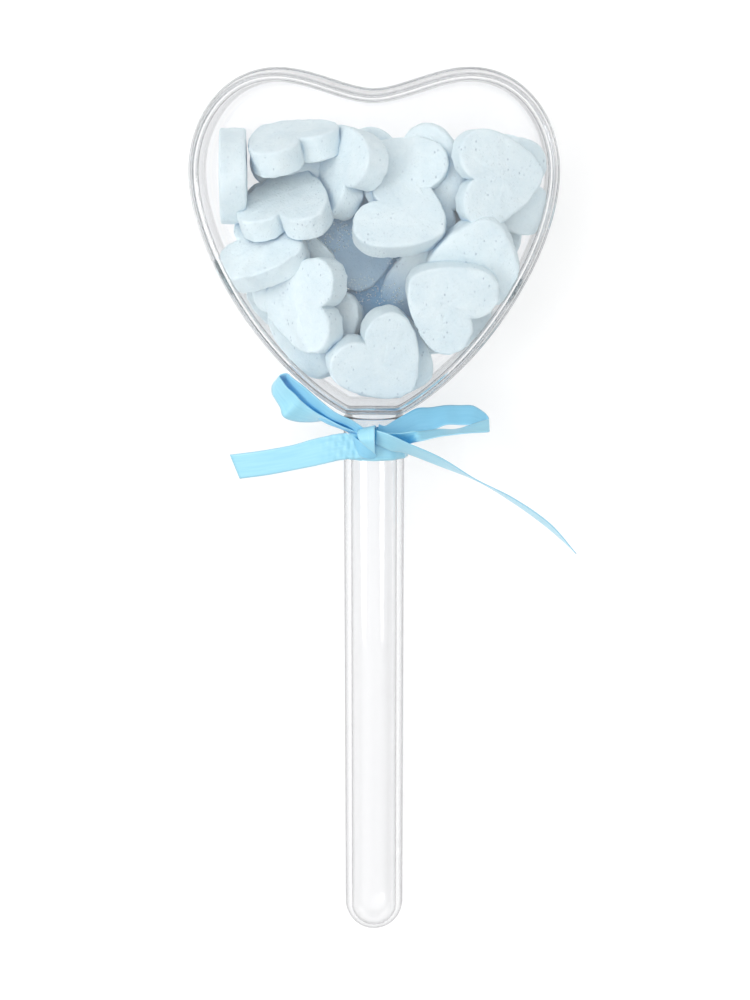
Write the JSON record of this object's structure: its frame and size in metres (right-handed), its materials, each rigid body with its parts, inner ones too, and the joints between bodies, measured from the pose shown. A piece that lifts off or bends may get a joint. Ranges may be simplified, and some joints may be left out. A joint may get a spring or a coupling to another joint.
{
  "type": "candy wand",
  "caption": "Heart-shaped clear box of heart candies on a clear round handle, tied with a satin ribbon bow.",
  "frame": {"origin": "on the flat back of the heart box, at the middle of the heart's widest line", "axes": "+Z out through the front face of the box, +Y from the handle towards the dip of the heart, +X to the right seen from the front"},
  "size_m": [0.1027, 0.2332, 0.03],
  "materials": {
    "clear_plastic": "clear, glossy injection-moulded plastic",
    "satin_ribbon": "sky blue satin ribbon",
    "pressed_sugar": "matte pressed sugar, pale powder blue"
  },
  "bodies": {
    "root": {"heart_shell_front": "clear_plastic", "heart_shell_back": "clear_plastic", "handle_tube": "clear_plastic", "ribbon_bow": "satin_ribbon", "candy_heap": "pressed_sugar"}
  },
  "joints": []
}
